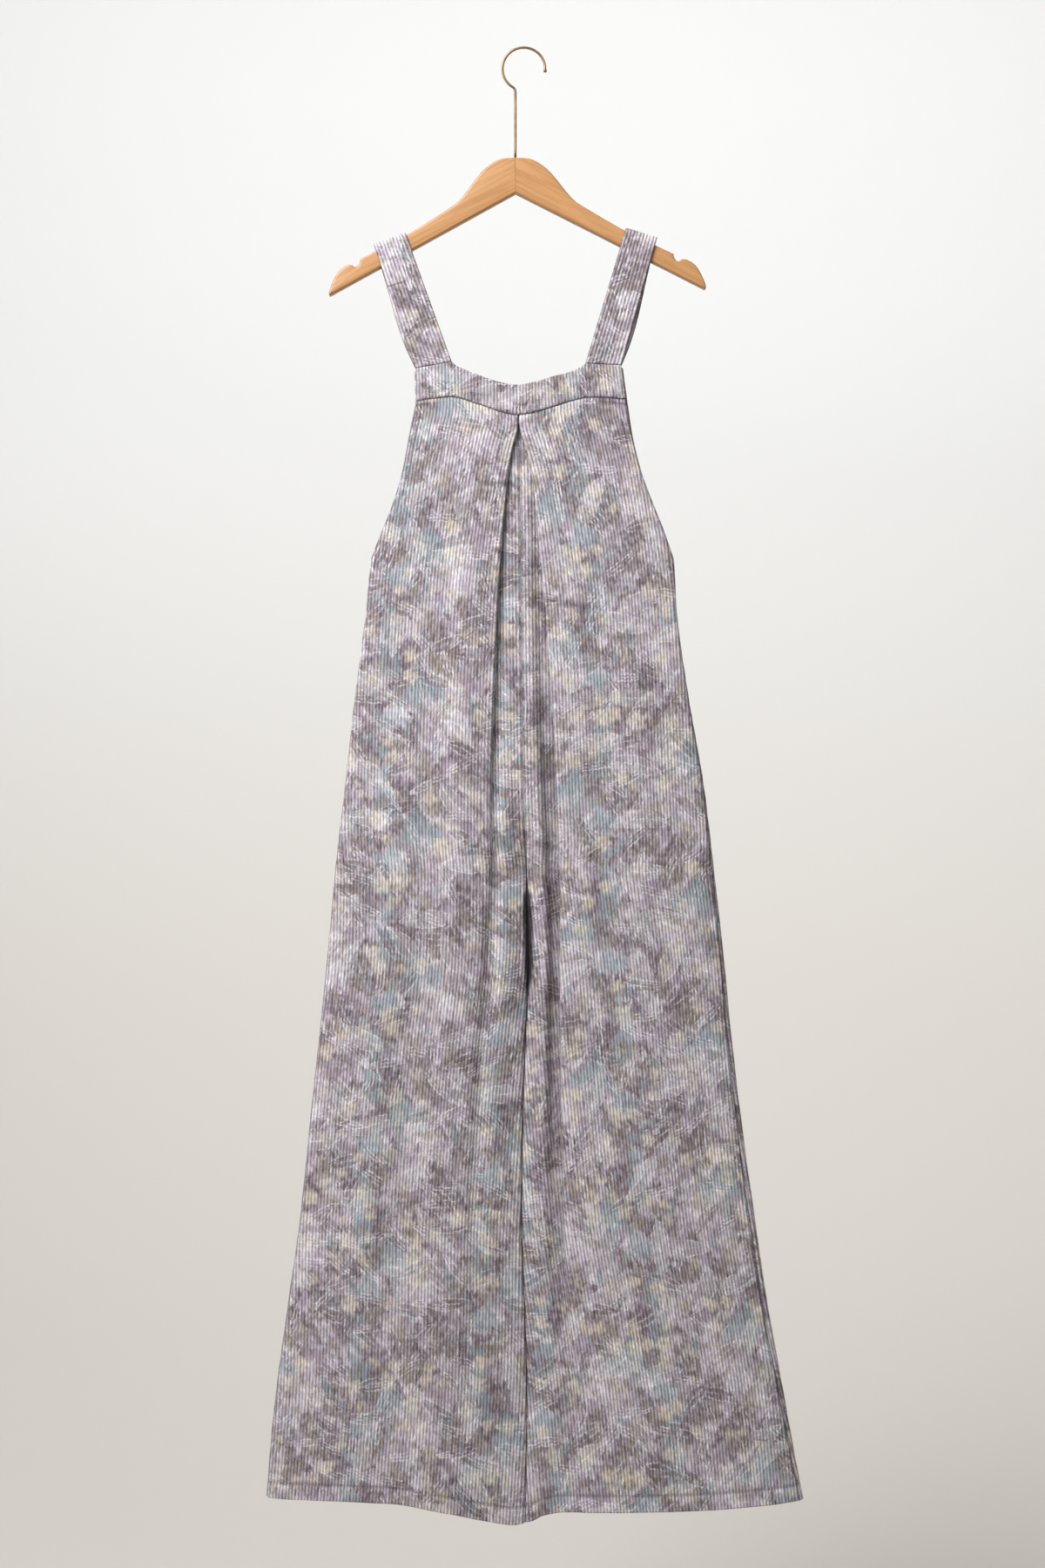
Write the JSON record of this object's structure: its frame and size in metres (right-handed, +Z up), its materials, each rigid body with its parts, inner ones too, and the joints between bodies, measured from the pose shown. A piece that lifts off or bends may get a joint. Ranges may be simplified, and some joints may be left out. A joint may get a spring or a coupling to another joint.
{
  "type": "overalls on a hanger",
  "caption": "Wide-leg rib-knit overalls with broad shoulder straps, an inverted front pleat and flared legs, hung flat on a wooden hanger with a wire hook.",
  "frame": {"origin": "where a rail or a nail bears, at the top inside the hook", "axes": "+X to the right of someone facing the garment, -Y towards them, +Z up"},
  "size_m": [0.6151, 0.0377, 1.6943],
  "materials": {
    "rib_knit": "matt printed rib knit",
    "beech": "clear satin lacquer",
    "brass_wire": "dull brass"
  },
  "bodies": {
    "root": {"front_panel_left": "rib_knit", "front_panel_right": "rib_knit", "back_panel_left": "rib_knit", "back_panel_right": "rib_knit", "front_yoke": "rib_knit", "back_yoke": "rib_knit", "strap_left": "rib_knit", "strap_right": "rib_knit", "hanger_arm_left": "beech", "hanger_arm_right": "beech", "hanger_hook": "brass_wire"}
  },
  "joints": []
}
